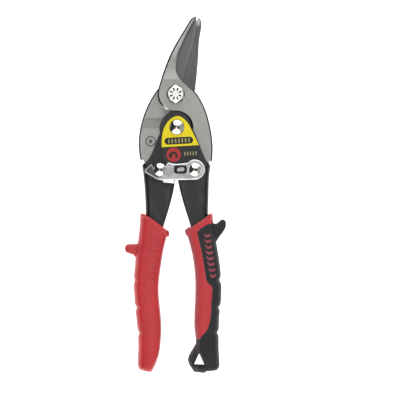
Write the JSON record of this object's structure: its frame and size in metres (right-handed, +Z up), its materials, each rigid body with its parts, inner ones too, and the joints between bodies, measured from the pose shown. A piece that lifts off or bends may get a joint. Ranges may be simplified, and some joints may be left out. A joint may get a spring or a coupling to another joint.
{
  "type": "aviation snips",
  "caption": "Compound-action sheet metal snips with riveted channel handles, hooked latch, moulded grips and a hanging loop.",
  "frame": {"origin": "middle of the footprint, on the surface the closed snips lie on", "axes": "+Z up through the thickness, +Y towards the blade tips, +X to the right seen from above"},
  "size_m": [0.0709, 0.2494, 0.0229],
  "materials": {
    "jaw_steel": "satin",
    "plated_steel": "polished",
    "dark_steel": "blackened",
    "spring_steel": "satin",
    "black_paint": "semi-gloss",
    "latch_chrome": "polished",
    "yellow_label": "printed",
    "red_badge": "printed",
    "red_grip": "satin",
    "black_grip": "matte"
  },
  "bodies": {
    "lower_jaw": {"lower_jaw": "jaw_steel", "pivot_bolt": "plated_steel", "pivot_nut": "plated_steel", "pivot_washer": "dark_steel", "opening_spring": "spring_steel"},
    "upper_jaw": {"upper_jaw": "jaw_steel"},
    "left_handle": {"left_handle": "black_paint", "left_rivet": "plated_steel", "left_bush": "plated_steel", "centre_rivet": "plated_steel", "centre_spacer": "spring_steel", "left_grip": "red_grip"},
    "right_handle": {"right_handle": "black_paint", "right_rivet": "plated_steel", "latch_washer": "plated_steel", "label": "yellow_label", "badge": "red_badge", "right_grip_core": "red_grip", "right_grip_cover": "black_grip"},
    "latch": {"latch": "latch_chrome"}
  },
  "joints": [
    {"name": "jaw_open", "type": "hinge", "parent": "lower_jaw", "child": "upper_jaw", "pos_m": [0, 0.07, 0.011], "axis": [0, 0, 1], "range_deg": [0, 20], "deforming": ["opening_spring"]},
    {"name": "left_handle_pivot", "type": "hinge", "parent": "lower_jaw", "child": "left_handle", "pos_m": [-0.011, 0.0172, 0.011], "axis": [0, 0, 1], "range_deg": [-8.6, 0]},
    {"name": "right_handle_pivot", "type": "hinge", "parent": "upper_jaw", "child": "right_handle", "pos_m": [0.0134, 0.0172, 0.011], "axis": [0, 0, 1], "range_deg": [0, 9.1]},
    {"name": "latch_pivot", "type": "hinge", "parent": "right_handle", "child": "latch", "pos_m": [0.0134, 0.0172, 0.011], "axis": [0, 0, 1], "range_deg": [0, 70.1]}
  ],
  "couplings": [
    {"joint": "left_handle_pivot", "follows": "jaw_open", "ratio": -0.426},
    {"joint": "right_handle_pivot", "follows": "jaw_open", "ratio": 0.452},
    {"joint": "latch_pivot", "follows": "jaw_open", "ratio": 3.5}
  ]
}
